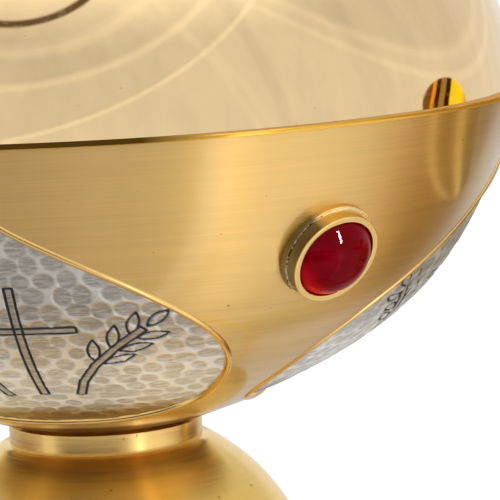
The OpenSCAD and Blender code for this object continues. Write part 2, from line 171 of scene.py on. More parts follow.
def outline_depths(upper_steps, lower_steps):
    """Depths down a flank, closer together where the round end turns quickly."""
    upper = np.linspace(PANEL_TOP, PANEL_WIDE, upper_steps, endpoint=False)
    turn = np.linspace(0, math.pi / 2, lower_steps)
    lower = PANEL_WIDE + (PANEL_LOW - PANEL_WIDE) * np.sin(turn) ** (2 / PANEL_ROUND)
    return np.concatenate([upper, lower])


# ---- Mesh helpers ----

def new_object(name, verts, faces):
    mesh = bpy.data.meshes.new(name)
    mesh.from_pydata([tuple(v) for v in verts], [], [tuple(f) for f in faces])
    obj = bpy.data.objects.new(name, mesh)
    bpy.context.scene.collection.objects.link(obj)
    return obj


def shade(obj, angle=35):
    """Smooth shading, kept sharp over edges steeper than an angle."""
    for polygon in obj.data.polygons:
        polygon.use_smooth = True
    obj.data.set_sharp_from_angle(angle=math.radians(angle))
    return obj


def clean(obj, distance=1e-7):
    """Merges points that fall together and turns all faces outwards."""
    bm = bmesh.new()
    bm.from_mesh(obj.data)
    bmesh.ops.remove_doubles(bm, verts=bm.verts, dist=distance)
    bmesh.ops.dissolve_degenerate(bm, edges=bm.edges, dist=distance / 2)
    bmesh.ops.recalc_face_normals(bm, faces=bm.faces)
    bm.to_mesh(obj.data)
    bm.free()
    return obj


def grid_faces(rows, columns, wrap_rows=False, wrap_columns=False):
    last_row = rows if wrap_rows else rows - 1
    last_column = columns if wrap_columns else columns - 1
    i, j = np.meshgrid(np.arange(last_row), np.arange(last_column), indexing="ij")
    a = i * columns + j
    b = i * columns + (j + 1) % columns
    c = ((i + 1) % rows) * columns + (j + 1) % columns
    d = ((i + 1) % rows) * columns + j
    return np.stack([a, b, c, d], -1).reshape(-1, 4).tolist()


def grid_object(name, points, wrap_rows=False, wrap_columns=False):
    rows, columns = points.shape[:2]
    faces = grid_faces(rows, columns, wrap_rows, wrap_columns)
    return new_object(name, points.reshape(-1, 3).tolist(), faces)


def rounded(corners, steps=4):
    """A section with each corner (radius, height, fillet) rounded over its fillet length."""
    out = []
    count = len(corners)
    for i, (r, z, fillet) in enumerate(corners):
        here = Vector((r, z))
        if fillet <= 0:
            out.append(here)
            continue
        before = Vector(corners[(i - 1) % count][:2]) - here
        after = Vector(corners[(i + 1) % count][:2]) - here
        start = here + before.normalized() * min(fillet, before.length * 0.49)
        end = here + after.normalized() * min(fillet, after.length * 0.49)
        for k in range(steps + 1):
            t = k / steps
            out.append((1 - t) ** 2 * start + 2 * t * (1 - t) * here + t * t * end)
    return [(p.x, p.y) for p in out]


def points_of(obj):
    return np.array([v.co[:] for v in obj.data.vertices])


def mark(obj, name, values):
    """Stores one number for each point of a mesh, for its paint to read."""
    layer = obj.data.attributes.new(name, "FLOAT", "POINT")
    layer.data.foreach_set("value", np.ascontiguousarray(values, dtype=np.float32).ravel())


def smooth(value, low, high):
    """0 below a limit and 1 above the other, with a smooth step between."""
    t = np.clip((value - low) / (high - low), 0, 1)
    return t * t * (3 - 2 * t)


def lathe(name, section, segments=128, closed=True, wobble=None):
    """Turns a section of (radius, height) points about Z. wobble(angle, row) adds to the radius."""
    angle = np.linspace(0, 2 * math.pi, segments, endpoint=False)
    section = np.array(section)
    radius = np.repeat(section[:, :1], segments, axis=1)
    if wobble is not None:
        radius = radius + wobble(angle[None, :], section)
    points = np.stack([radius * np.cos(angle), radius * np.sin(angle),
                       np.repeat(section[:, 1:], segments, axis=1)], -1)
    obj = grid_object(name, points, wrap_rows=closed, wrap_columns=True)
    return shade(clean(obj))


def in_metres(section):
    return [tuple(v * MM for v in corner) for corner in section]


def ball_section(radius, height, low, high, steps):
    """Points up the side of a sphere, between two heights measured from its centre."""
    start, end = math.asin(low / radius), math.asin(high / radius)
    return [(radius * math.cos(a), height + radius * math.sin(a)) for a in np.linspace(start, end, steps)]


def finished(obj, body, slot, material, *nodes):
    """Gives a piece its material and body, and hides the CAD nodes that it stands for; slot is not used."""
    obj.data.materials.clear()
    obj.data.materials.append(material)
    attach(obj, body)
    if nodes:
        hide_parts(*nodes)
    return obj


# ---- Node materials ----

class Paint:
    """A short way to write the nodes of a material or a world: values are numbers, colours or sockets."""

    def __init__(self, owner, output="ShaderNodeOutputMaterial"):
        owner.use_nodes = True
        self.owner = owner
        self.tree = owner.node_tree
        self.tree.nodes.clear()
        self.output = self.tree.nodes.new(output)

    def node(self, kind, inputs=None, **settings):
        node = self.tree.nodes.new(kind)
        for key, value in settings.items():
            setattr(node, key, value)
        for key, value in (inputs or {}).items():
            self.put(node.inputs[key], value)
        return node

    def put(self, socket, value):
        if isinstance(value, bpy.types.NodeSocket):
            self.tree.links.new(value, socket)
        else:
            socket.default_value = value

    def math(self, operation, a, b=0.0, clamp=False):
        return self.node("ShaderNodeMath", {0: a, 1: b}, operation=operation, use_clamp=clamp).outputs[0]

    def add(self, a, b, clamp=False):
        return self.math("ADD", a, b, clamp)

    def times(self, a, b, clamp=False):
        return self.math("MULTIPLY", a, b, clamp)

    def ramp(self, value, low, high, to_low=0.0, to_high=1.0):
        """Smooth step of a value between two limits, mapped to two outputs."""
        limits = {"Value": value, "From Min": low, "From Max": high, "To Min": to_low, "To Max": to_high}
        return self.node("ShaderNodeMapRange", limits, interpolation_type="SMOOTHSTEP").outputs[0]

    def mix(self, factor, a, b, blend="MIX"):
        node = self.tree.nodes.new("ShaderNodeMix")
        node.data_type = "RGBA"
        node.blend_type = blend
        self.put(node.inputs[0], factor)
        self.put(node.inputs[6], a)
        self.put(node.inputs[7], b)
        return node.outputs[2]

    def noise(self, scale, detail=2.0, roughness=0.5, space="Object"):
        """Noise fixed to the object; scale is one number, or three where the noise is stretched."""
        source = self.node("ShaderNodeTexCoord").outputs[space]
        scale = scale if isinstance(scale, tuple) else (scale,) * 3
        mapped = self.node("ShaderNodeMapping", {"Vector": source, "Scale": scale}).outputs[0]
        return self.node("ShaderNodeTexNoise", {"Vector": mapped, "Scale": 1.0, "Detail": detail,
                                                "Roughness": roughness}).outputs[0]

    def attribute(self, name):
        return self.node("ShaderNodeAttribute", attribute_name=name).outputs["Fac"]

    def bump(self, height, distance, strength=1.0):
        return self.node("ShaderNodeBump", {"Height": height, "Distance": distance,
                                            "Strength": strength}).outputs[0]

    def surface(self, inputs):
        """Ends a material in one shader, and returns the material."""
        self.put(self.output.inputs[0], self.node("ShaderNodeBsdfPrincipled", inputs).outputs[0])
        return self.owner


def new_paint(name):
    return Paint(bpy.data.materials.new(name))


def scaled(color, factor):
    """A colour made darker or lighter."""
    return tuple(min(1, c * factor) for c in color[:3]) + (1,)


def satin_gold(name, color=(0.83, 0.52, 0.142, 1), roughness=0.32, lacquer=0.0, grain=1.0):
    """Gilt brass brushed round the turning axis: long fine streaks, faint stains and a few pits."""
    p = new_paint(name)
    streak = (60, 60, 7000)
    fine = p.noise(streak, 3.0, 0.6)
    broad = p.noise(tuple(s / 6 for s in streak), 2.0, 0.5)
    stain = p.noise(22, 4.0, 0.6)
    contrast = 0.17 * grain
    tone = p.add(p.ramp(fine, 0.25, 0.75, -contrast, contrast), p.ramp(broad, 0.3, 0.7, -0.07, 0.07))
    tone = p.add(tone, p.ramp(stain, 0.3, 0.7, -0.04, 0.04))
    base = p.mix(p.add(tone, 0.5, clamp=True), scaled(color, 0.80), scaled(color, 1.16))
    pit = p.ramp(p.noise(1100, 0.0), 0.865, 0.88)
    base = p.mix(p.times(pit, 0.55), base, (0.12, 0.06, 0.015, 1))
    # Painted shade: marked points, the foot of the cup's wall by the neck, are darkened brown and lose the
    # lacquer coat.
    tarnish_and_shade = p.attribute("tarnish_and_shade")
    darkening = p.times(tarnish_and_shade, p.ramp(stain, 0.3, 0.7, 0.95, 0.8))
    base = p.mix(darkening, base, (0.12, 0.048, 0.005, 1))
    rough = p.add(p.ramp(fine, 0.2, 0.8, -0.05, 0.06), roughness)
    height = p.add(fine, p.times(broad, 0.6))
    tangent = p.node("ShaderNodeTangent", direction_type="RADIAL", axis="Z").outputs[0]
    coat = p.times(p.math("SUBTRACT", 1.0, tarnish_and_shade), lacquer) if lacquer else 0.0
    return p.surface({"Base Color": base, "Metallic": 1.0, "Roughness": rough, "Tangent": tangent,
                      "Anisotropic": 1.0, "Anisotropic Rotation": 0.25,
                      "Normal": p.bump(height, 0.000012, 0.6 * grain),
                      "Coat Weight": coat, "Coat Roughness": 0.09, "Coat IOR": 1.6})


def polished_gold(name, color=(0.83, 0.62, 0.30, 1), roughness=0.035, wear=0.25, darken=0.0,
                  edge=(1, 1, 1, 1)):
    """Mirror-polished gilding with a breath of haze, hairline scratches and rare specks."""
    p = new_paint(name)
    haze = p.noise(45, 3.0, 0.6)
    hair = p.noise((500, 60, 900), 2.0, 0.7)
    speck = p.ramp(p.noise(1500, 0.0), 0.865, 0.88)
    base = p.mix(haze, scaled(color, 0.93), color)
    base = p.mix(p.times(speck, wear), base, (0.30, 0.17, 0.05, 1))
    metal, gloss = 1.0, 0.5
    # Marked points are darkened and made less metallic: painted shade on the left of each setting, and on the
    # lip's front partly tarnish, partly a painted reflection of the dark room in front.
    if darken:
        darkening = p.ramp(haze, 0.3, 0.7, darken * 1.1, darken * 0.8)
        darkening = p.times(p.attribute("tarnish_and_shade"), darkening, clamp=True)
        base = p.mix(darkening, base, (0.075, 0.036, 0.005, 1))
        metal, gloss = p.math("SUBTRACT", 1.0, darkening), 0.0
    rough = p.add(p.ramp(hair, 0.45, 0.8, 0.0, 0.05), roughness)
    return p.surface({"Base Color": base, "Metallic": metal, "Roughness": rough, "Specular Tint": edge,
                      "Specular IOR Level": gloss, "Normal": p.bump(haze, 0.00003, 0.25)})


def plain_brass(name, color=(0.46, 0.28, 0.085, 1), roughness=0.3):
    """Turned, unlacquered brass with tool marks and tarnish."""
    p = new_paint(name)
    rings = p.noise((40, 40, 4000), 2.0)
    tarnish = p.noise(120, 5.0, 0.65)
    base = p.mix(p.ramp(tarnish, 0.35, 0.7), scaled(color, 0.55), color)
    rough = p.add(p.ramp(tarnish, 0.3, 0.7, 0.12, 0.0), roughness)
    return p.surface({"Base Color": base, "Metallic": 1.0, "Roughness": rough,
                      "Normal": p.bump(rings, 0.00001, 0.5)})


def hammered_silver(name):
    """Silver sheet: darker scratched dishes, bright rubbed ridges, and black in the engraved lines; painted
    light on the lower part of each panel and a painted gold reflection at its bottom edge.
    """
    p = new_paint(name)
    dish, ink, bar, lightened, warmth = (p.attribute(name) for name in ("dish", "ink", "bar", "lightened", "warm"))
    scratch = p.noise((420, 420, 3000), 4.0, 0.75)
    cloud = p.noise(130, 4.0, 0.6)
    # Painted light: the lower part of each panel, facing down, gets paler and less metallic silver; the
    # silver rings are a little paler all over.
    ridge = p.mix(lightened, (0.78, 0.745, 0.69, 1), (0.97, 0.965, 0.95, 1))
    hollow = p.mix(lightened, (0.39, 0.36, 0.32, 1), (0.54, 0.53, 0.51, 1))
    depth = p.times(dish, p.ramp(scratch, 0.32, 0.66, 1.25, 0.30))
    base = p.mix(p.math("MINIMUM", depth, 1.0), ridge, hollow)
    dulled = p.mix(lightened, (0.52, 0.49, 0.44, 1), (0.78, 0.77, 0.74, 1))
    base = p.mix(p.ramp(cloud, 0.35, 0.75, 0.0, 0.3), base, dulled)
    # Painted reflection: a gold tint at each panel's bottom edge, for the gilt knop and neck below.
    base = p.mix(p.times(warmth, p.ramp(cloud, 0.3, 0.7, 0.4, 0.8)), base, (0.46, 0.31, 0.15, 1))
    base = p.mix(p.times(bar, p.ramp(scratch, 0.3, 0.7, 0.85, 0.35)), base, (0.24, 0.18, 0.12, 1))
    base = p.mix(ink, base, (0.008, 0.007, 0.006, 1))
    metal = p.math("SUBTRACT", p.ramp(ink, 0.2, 0.8, 1.0, 0.1), p.times(lightened, 0.45), clamp=True)
    rough = p.add(p.ramp(scratch, 0.2, 0.8, 0.30, 0.50), p.times(ink, 0.25))
    return p.surface({"Base Color": base, "Metallic": metal, "Roughness": rough,
                      "Normal": p.bump(scratch, 0.00003, 0.6)})


def ruby_glass(name):
    """Deep ruby glass; "glow" marks where the light gathers at the foot of a dome."""
    p = new_paint(name)
    cloud = p.noise(260, 3.0, 0.6)
    glow = p.times(p.attribute("glow"), p.ramp(cloud, 0.3, 0.62, 0.55, 1.15), clamp=True)
    deep = p.mix(p.ramp(cloud, 0.35, 0.7), (0.155, 0.0001, 0.003, 1), (0.21, 0.0002, 0.006, 1))
    base = p.mix(glow, deep, (0.55, 0.001, 0.008, 1))
    return p.surface({"Base Color": base, "Roughness": 0.02, "IOR": 1.5, "Specular IOR Level": 0.045,
                      "Normal": p.bump(cloud, 0.00004, 0.2)})


def foil(name):
    """Matt pink foil, crinkled under a stone to throw the light back."""
    p = new_paint(name)
    crease = p.noise(700, 2.0)
    base = p.mix(crease, (0.50, 0.35, 0.33, 1), (0.66, 0.48, 0.45, 1))
    return p.surface({"Base Color": base, "Metallic": 0.4, "Roughness": 0.7,
                      "Normal": p.bump(crease, 0.0001, 0.5)})


def solder_paint(name):
    """Pale, pitted hard solder, with painted shade darkening its marked side."""
    p = new_paint(name)
    pitted = p.noise(900, 3.0, 0.6)
    # Painted shade: the marked side of each seam, its left, is darkened.
    tarnish_and_shade = p.times(p.attribute("tarnish_and_shade"), p.ramp(pitted, 0.35, 0.6, 1.3, 0.35), clamp=True)
    base = p.mix(p.ramp(pitted, 0.28, 0.42), (0.14, 0.09, 0.03, 1), (0.90, 0.76, 0.48, 1))
    base = p.mix(tarnish_and_shade, base, (0.07, 0.045, 0.015, 1))
    return p.surface({"Base Color": base, "Metallic": 1.0, "Roughness": p.ramp(pitted, 0.3, 0.7, 0.5, 0.25),
                      "Normal": p.bump(pitted, 0.00012, 0.8)})


def clear_glass(name):
    p = new_paint(name)
    ripple = p.noise(30, 2.0)
    base = p.mix(ripple, (0.93, 0.97, 0.95, 1), (0.97, 0.99, 0.98, 1))
    return p.surface({"Base Color": base, "Roughness": 0.01, "IOR": 1.5, "Transmission Weight": 1.0,
                      "Normal": p.bump(ripple, 0.0001, 0.15)})


def floor_paint():
    p = new_paint("floor")
    soft = p.noise(3, 3.0)
    base = p.mix(soft, (0.95, 0.955, 0.965, 1), (0.965, 0.97, 0.98, 1))
    return p.surface({"Base Color": base, "Roughness": 0.85})


# ---- Light: a white cloth tent, as a world that every view shares. Angles are in degrees, and azimuths
# ---- start at the photograph's viewing angle ----

# Tone of the tent's lower part all round: angle, brightness, warmth
LOW_TONES = (
    (-180, 0.60, 0.0), (-140, 0.50, 0.1), (-116, 0.32, 0.5), (-98, 0.45, 0.4), (-86, 0.74, 0.1),
    (-80, 0.84, 0.0), (-66, 0.84, 0.0), (-58, 0.64, 0.1), (-48, 0.58, 0.1), (-20, 0.70, 0.1),
    (-10, 0.81, 0.1), (2, 0.88, 0.1), (18, 0.88, 0.0), (33, 0.76, 0.0), (37, 1.75, 0.0),
    (45, 1.60, 0.0), (48, 1.0, 0.0), (60, 1.26, 0.0), (72, 1.22, 0.0), (82, 1.06, 0.0),
    (94, 0.76, 0.25), (104, 0.52, 0.55), (111, 0.40, 0.75), (116, 0.30, 0.8), (120, 0.18, 0.8),
    (126, 0.12, 0.8), (132, 0.18, 0.75),
    (136, 0.26, 0.6), (140, 0.40, 0.4), (144, 0.52, 0.0), (158, 0.60, 0.0), (180, 0.60, 0.0),
)
# The same for the narrow band at the level of the cup, where the tent's cloth ends
EDGE_TONES = (
    (-180, 0.85, 0.0), (-100, 0.40, 0.3), (-84, 0.30, 0.3), (-79, 0.80, 0.0), (-68, 0.80, 0.0),
    (-60, 0.10, 0.5), (4, 0.08, 0.5), (14, 0.16, 0.5),
    (24, 0.55, 0.4), (31, 1.90, 0.0), (46, 1.80, 0.0), (52, 1.15, 0.0), (66, 0.90, 0.2),
    (82, 0.50, 0.6), (100, 0.34, 0.9), (128, 0.34, 0.9), (150, 0.80, 0.0), (180, 0.85, 0.0),
)
# Gain on the lower tones in a band under the cup's level: a dark room in front, between two bright gaps
SHADE_GAINS = (
    (-180, 1.0), (-84, 1.0), (-78, 1.2), (-66, 1.2), (-56, 0.6), (-44, 0.05), (10, 0.05), (20, 0.5),
    (30, 1.5), (50, 1.5), (60, 1.0), (180, 1.0),
)
# Gain on the floor of the tent, pale again under the vessel at the right
FLOOR_GAINS = ((-180, 1.0), (92, 1.0), (108, 2.0), (138, 2.0), (152, 1.0), (180, 1.0))
# Hoops that stretch the cloth: azimuth and elevation of the axis, cosine, half width, gain on the line and
# gain inside it
HOOPS = (
    (-40, 61, 0.505, 0.010, 0.15, -0.07),
    (-27, 62.5, 0.720, 0.014, 0.12, -0.08),
    (-21, 58, 0.880, 0.018, 0.09, -0.10),
    (122, 53, 0.642, 0.012, 0.07, -0.035),
    (122, 53, 0.700, 0.016, 0.05, -0.075),
)
# Loose folds of the cloth: azimuth and elevation of the axis, cosine, half width, gain
FOLDS = (
    (130, 14, 0.21, 0.030, -0.06), (128, 24, 0.10, 0.018, 0.04), (150, 8, 0.33, 0.05, -0.05),
    (-20, -20, 0.35, 0.02, 0.03), (170, 25, 0.12, 0.04, -0.04),
)


def aim(azimuth, elevation):
    """The direction at an azimuth and an elevation."""
    a, e = math.radians(azimuth) + CAMERA_AZIMUTH, math.radians(elevation)
    return Vector((math.sin(a) * math.cos(e), -math.cos(a) * math.cos(e), math.sin(e)))


def dot(p, direction, axis):
    node = p.node("ShaderNodeVectorMath", {0: direction, 1: tuple(axis)}, operation="DOT_PRODUCT")
    return node.outputs["Value"]


def line_of_light(p, value, centre, half_width):
    """1 on a line where a value meets its centre, falling to 0 at one and a half times the half width."""
    off = p.math("ABSOLUTE", p.math("SUBTRACT", value, centre))
    return p.ramp(off, half_width * 0.5, half_width * 1.5, 1.0, 0.0)


def color_ramp(p, value, stops):
    node = p.node("ShaderNodeValToRGB", {0: value})
    ramp = node.color_ramp
    ramp.elements[0].position, ramp.elements[1].position = 0.0, 1.0
    for position, color in stops[1:-1]:
        ramp.elements.new(position).color = color
    ramp.elements[0].color, ramp.elements[-1].color = stops[0][1], stops[-1][1]
    return node.outputs[0]


def warm(level, warmth):
    """A brightness as a colour, from neutral to gold."""
    return (level, level * (0.985 - 0.42 * warmth), level * (0.955 - 0.80 * warmth), 1)


def grey(level):
    return (level, level, level, 1)


def all_round(p, turn, stops, color):
    """Tones given at angles, read at a turn from 0 (behind) through 0.5 (the viewer's side) to 1."""
    return color_ramp(p, turn, [(angle / 360 + 0.5, color(*rest)) for angle, *rest in stops])


# Stripes of the gilt vessel at the right, from its left edge (0) to its right one (1): place and colour
NEIGHBOUR_TOP = (
    (0.0, 0.30, 0.15, 0.03), (0.17, 0.20, 0.09, 0.015), (0.21, 1.1, 0.45, 0.03),
    (0.25, 0.9, 0.35, 0.02), (0.28, 0.03, 0.012, 0.004), (0.34, 0.05, 0.02, 0.005),
    (0.37, 0.42, 0.27, 0.06), (0.46, 0.45, 0.26, 0.05), (0.49, 0.03, 0.012, 0.004),
    (0.57, 0.04, 0.02, 0.005), (0.60, 1.35, 0.90, 0.03), (0.84, 1.45, 1.0, 0.04),
    (0.93, 1.1, 0.65, 0.05), (1.0, 0.5, 0.3, 0.1),
)
NEIGHBOUR_LOW = (
    (0.0, 0.3, 0.18, 0.05), (0.09, 2.2, 1.4, 0.5), (0.20, 2.3, 1.5, 0.5),
    (0.27, 0.20, 0.12, 0.03), (0.48, 0.0, 0.0, 0.0), (0.57, 0.5, 0.34, 0.1),
    (0.63, 2.0, 1.3, 0.30), (0.70, 2.2, 1.4, 0.32), (0.77, 0.05, 0.03, 0.01),
    (0.95, 0.0, 0.0, 0.0), (1.0, 2.4, 1.6, 0.4),
)


def gilt_neighbour(p, direction, base, stops, azimuth, elevation, columns, rows, slant=0.0, pinch=False):
    """A part of another gilt vessel at the right, as an oval in the tent. columns and rows give its two
    coordinates, -1 to 1, from the tangents across and down; pinch draws its stripes together at the ends."""
    middle, side = aim(azimuth, elevation), aim(azimuth + 90, 0)
    down = side.cross(middle)
    ahead = p.math("MAXIMUM", dot(p, direction, middle), 0.001)
    across = p.math("DIVIDE", dot(p, direction, side), ahead)
    below = p.math("DIVIDE", dot(p, direction, down), ahead)

    def coordinate(terms):
        value = p.math("MULTIPLY_ADD", across, terms[1])
        value.node.inputs[2].default_value = terms[0]
        return p.add(value, p.times(below, terms[2]))

    u, v = coordinate(columns), coordinate(rows)
    v2 = p.times(v, v)
    reach = p.add(p.times(u, u), v2)
    near_side = p.ramp(dot(p, direction, middle), 0.2, 0.4)
    inside = p.times(p.ramp(reach, 0.86, 1.02, 1.0, 0.0), near_side)
    if pinch:
        u = p.math("DIVIDE", u, p.math("SQRT", p.math("SUBTRACT", 1.0, p.math("MINIMUM", v2, 0.93))))
    where = p.add(p.times(u, 0.5), p.times(v, slant))
    where = p.add(where, 0.5 + 0.25 * slant, clamp=True)
    stripes = color_ramp(p, where, [(place, (*color, 1)) for place, *color in stops])
    return p.mix(inside, base, stripes)


def cloth(p, direction, height):
    """The tent over the cup's level: brighter at its top, with hoops, folds and the rim of its opening."""
    level = p.ramp(height, 0.45, 0.9, 0.90, 1.65)
    for azimuth, elevation, cosine, half_width, gain, inner in HOOPS:
        value = dot(p, direction, aim(azimuth, elevation))
        line = line_of_light(p, value, cosine, half_width)
        level = p.add(level, p.times(line, gain))
        level = p.add(level, p.ramp(value, cosine, cosine + 0.01, 0.0, inner))
    for azimuth, elevation, cosine, half_width, gain in FOLDS:
        line = line_of_light(p, dot(p, direction, aim(azimuth, elevation)), cosine, half_width)
        level = p.add(level, p.times(line, gain))
    cloud = p.noise((9, 9, 3), 4.0, 0.6, "Generated")
    level = p.add(level, p.ramp(cloud, 0.3, 0.7, -0.035, 0.035))
    opening = line_of_light(p, dot(p, direction, aim(-24, 57)), 0.9445, 0.006)
    tent = p.mix(1.0, (1.0, 0.99, 0.975, 1), level, "MULTIPLY")
    return p.mix(opening, tent, (0.16, 0.11, 0.06, 1))


def surroundings(p, direction, height):
    """What stands round the vessel under the cloth, down to the table."""
    turn = p.math("ARCTAN2", dot(p, direction, aim(90, 0)), dot(p, direction, aim(0, 0)))
    turn = p.add(p.math("DIVIDE", turn, 2 * math.pi), 0.5)
    low = all_round(p, turn, LOW_TONES, warm)
    table = p.node("ShaderNodeHueSaturation", {"Saturation": 0.15, "Color": low}).outputs[0]
    low = p.mix(p.ramp(height, -0.78, -0.62), table, low)
    low = p.mix(1.0, low, p.ramp(height, -0.90, -0.70, 0.84, 1.0), "MULTIPLY")
    low = p.mix(p.ramp(height, -0.99, -0.95, 0.6, 0.0), low, grey(0.0))
    shade_band = p.times(p.ramp(height, -0.52, -0.43), p.ramp(height, -0.20, -0.27))
    floor_band = p.ramp(height, -0.68, -0.56, 1.0, 0.0)
    for band, gains in ((shade_band, SHADE_GAINS), (floor_band, FLOOR_GAINS)):
        low = p.mix(band, low, p.mix(1.0, low, all_round(p, turn, gains, grey), "MULTIPLY"))
    return p.mix(p.ramp(height, -0.175, -0.155), low, all_round(p, turn, EDGE_TONES, warm))


def make_world():
    world = bpy.data.worlds.new("studio")
    bpy.context.scene.world = world
    p = Paint(world, "ShaderNodeOutputWorld")
    direction = p.node("ShaderNodeTexCoord").outputs["Generated"]
    height = p.node("ShaderNodeSeparateXYZ", {0: direction}).outputs[2]
    over = p.ramp(height, -0.085, -0.045)
    color = p.mix(over, surroundings(p, direction, height), cloth(p, direction, height))
    color = gilt_neighbour(p, direction, color, NEIGHBOUR_TOP, 106, 3.9, (-0.08, 5.4, 0.74),
                           (-0.87, -1.19, 10.4), slant=0.16)
    color = gilt_neighbour(p, direction, color, NEIGHBOUR_LOW, 121, -26, (0.06, -2.2, -17.2),
                           (0.24, 4.4, 11.6), pinch=True)
    background = p.node("ShaderNodeBackground", {"Color": color, "Strength": 1.0})
    p.put(p.output.inputs[0], background.outputs[0])


def make_strip():
    """A narrow soft light that only the stones catch, as a bright line on each facing dome."""
    data = bpy.data.lights.new("strip", "AREA")
    data.shape = "RECTANGLE"
    data.size, data.size_y = 0.045, 0.24
    data.energy = 10.0
    strip = bpy.data.objects.new("strip", data)
    away = aim(41, 21)
    middle = Vector((0, 0, RIM_Z - STONE_DEPTH)) + 0.5 * away
    strip.matrix_world = Matrix.Translation(middle) @ away.to_track_quat("Z", "Y").to_matrix().to_4x4()
    strip.visible_diffuse = False
    bpy.context.scene.collection.objects.link(strip)
    stones = bpy.data.collections.new("lit_by_strip")
    bpy.context.scene.collection.children.link(stones)
    for obj in bpy.data.objects:
        if obj.name.startswith("cabochon"):
            stones.objects.link(obj)
    strip.light_linking.receiver_collection = stones


def make_floor():
    half = 9.0
    corners = [(-half, -half, 0), (half, -half, 0), (half, half, 0), (-half, half, 0)]
    floor = new_object("floor", corners, [(0, 1, 2, 3)])
    floor.data.materials.append(floor_paint())
    floor.visible_glossy = False


# ---- Cup ----

def cup_wall():
    """The satin wall between the panels, its rows running right up to their outlines."""
    above = np.linspace(LIP_H, PANEL_TOP, 16, endpoint=False)
    below = np.linspace(PANEL_LOW, CUP_DEPTH, 10)[1:]
    depths = np.concatenate([above, outline_depths(120, 36), below])
    half = np.where((depths > PANEL_TOP) & (depths < PANEL_LOW), flank_angle(depths), 0.0)
    across = np.linspace(0, 1, 65)
    verts, faces = [], []
    for q in range(4):
        angle = q * math.pi / 2 + half[:, None] + across[None, :] * (math.pi / 2 - 2 * half[:, None])
        points = cup_point(depths[:, None], angle)
        start = len(verts)
        verts += points.reshape(-1, 3).tolist()
        faces += [[i + start for i in f] for f in grid_faces(len(depths), len(across))]
    obj = new_object("cup_wall", verts, faces)
    clean(obj, 2e-6)
    shade(obj, 60)
    depth = RIM_Z - points_of(obj)[:, 2]
    # Painted shade: the wall's last 2 mm above the neck are marked, and its paint darkens them brown in the
    # recess over the neck ring.
    mark(obj, "tarnish_and_shade", smooth(depth, CUP_DEPTH - 1.9 * MM, CUP_DEPTH - 0.8 * MM))
    underside = lathe("cup_underside", rounded([
        (cup_r(CUP_DEPTH), RIM_Z - CUP_DEPTH, 0), (5 * MM, RIM_Z - CUP_DEPTH, 0)]), closed=False)
    return obj, underside


def outline_frame(steps):
    """One flank of a panel's outline at even steps: points, outward normals, and inward sides."""
    depth = outline_depths(900, 500)
    angle = flank_angle(depth)
    points = cup_point(depth, angle)
    run = np.concatenate([[0], np.cumsum(np.linalg.norm(np.diff(points, axis=0), axis=1))])
    even = np.linspace(0, run[-1], steps)
    depth, angle = np.interp(even, run, depth), np.interp(even, run, angle)
    points = cup_point(depth, angle)
    normal = cup_normal(depth, angle)
    along = np.gradient(points, axis=0)
    along[-1] = (-1, 0, 0)
    side = np.cross(along, normal)
    side /= np.linalg.norm(side, axis=1)[:, None]
    return points, normal, side


# Section of the burnished wire: distance in from the outline, height over the cup's surface, in mm
WIRE = ((-0.12, -0.16), (-0.04, -0.02), (0.08, 0.12), (0.26, 0.23), (0.46, 0.27), (0.66, 0.23),
        (0.84, 0.10), (0.96, -0.08), (1.03, -0.30), (1.05, -0.62))


def border(q):
    """Burnished wire round a panel, mitred where the flanks meet at the top."""
    points, normal, side = outline_frame(260)
    rows = []
    for inward, height in WIRE:
        row = points + side * inward * MM + normal * height * MM
        if inward > 0:
            row[:, 0] = np.maximum(row[:, 0], 0)
        rows.append(row)
    right = np.stack(rows, 1)
    left = right[::-1] * (-1, 1, 1)
    loop = np.concatenate([right, left[1:]], 0)
    obj = grid_object(f"wire_{QUARTERS[q]}", loop)
    obj.data.transform(Matrix.Rotation(q * math.pi / 2, 4, "Z"))
    return shade(clean(obj, 2e-6), 60)


# ---- Engraving: a cross between two ears of wheat, in doubled lines, in mm on the flattened panel ----

MOTIF_TOP = 23.0
BAR = 0.60
CROSS_LENGTH = 27.0
CROSS_ARM = 8.2
CROSS_ARM_AT = 8.5


def bar_lines(points, half=BAR):
    """Outline of a bar along a path, as line pieces."""
    points = [Vector(p) for p in points]
    left, right = [], []
    for i, here in enumerate(points):
        ahead = (points[min(i + 1, len(points) - 1)] - points[max(i - 1, 0)]).normalized()
        across = Vector((-ahead.y, ahead.x)) * half
        left.append(here + across)
        right.append(here - across)
    loop = left + right[::-1]
    return [(loop[i], loop[(i + 1) % len(loop)]) for i in range(len(loop))]


def kernel_lines(root, angle, length, width):
    """Outline of a pointed grain: two arcs from its root to its tip."""
    ahead = Vector((math.sin(angle), -math.cos(angle)))
    across = Vector((-ahead.y, ahead.x))
    lines = []
    for side in (-1, 1):
        arc = [Vector(root) + ahead * length * t + across * side * width * 2 * t * (1 - t)
               for t in np.linspace(0, 1, 9)]
        lines += list(zip(arc[:-1], arc[1:]))
    return lines


def stalk_points(side):
    """Middle line of a wheat stalk, bending outwards to its ear."""
    return [(side * x, y) for x, y in ((5.2, 27.5), (6.6, 22.5), (9.2, 17.6), (13.0, 13.0), (17.6, 9.0))]


def wheat_lines(side):
    """One ear: a bent stalk and grains in pairs beside its upper part."""
    lines = bar_lines(stalk_points(side))
    width = 1.7
    for root, lean, length in (((9.6, 17.3), 36, 5.4), ((12.4, 14.0), 44, 5.2), ((15.4, 11.0), 50, 4.8)):
        for turn in (-1, 1):
            angle = math.radians(lean + 46 * turn)
            start = Vector(root) + 0.95 * Vector((math.sin(angle), -math.cos(angle)))
            tilt = side * math.radians(lean + 30 * turn)
            lines += kernel_lines((side * start.x, start.y), tilt, length, width)
    lines += kernel_lines((side * 18.2, 8.5), side * math.radians(50), 4.6, width)
    return lines


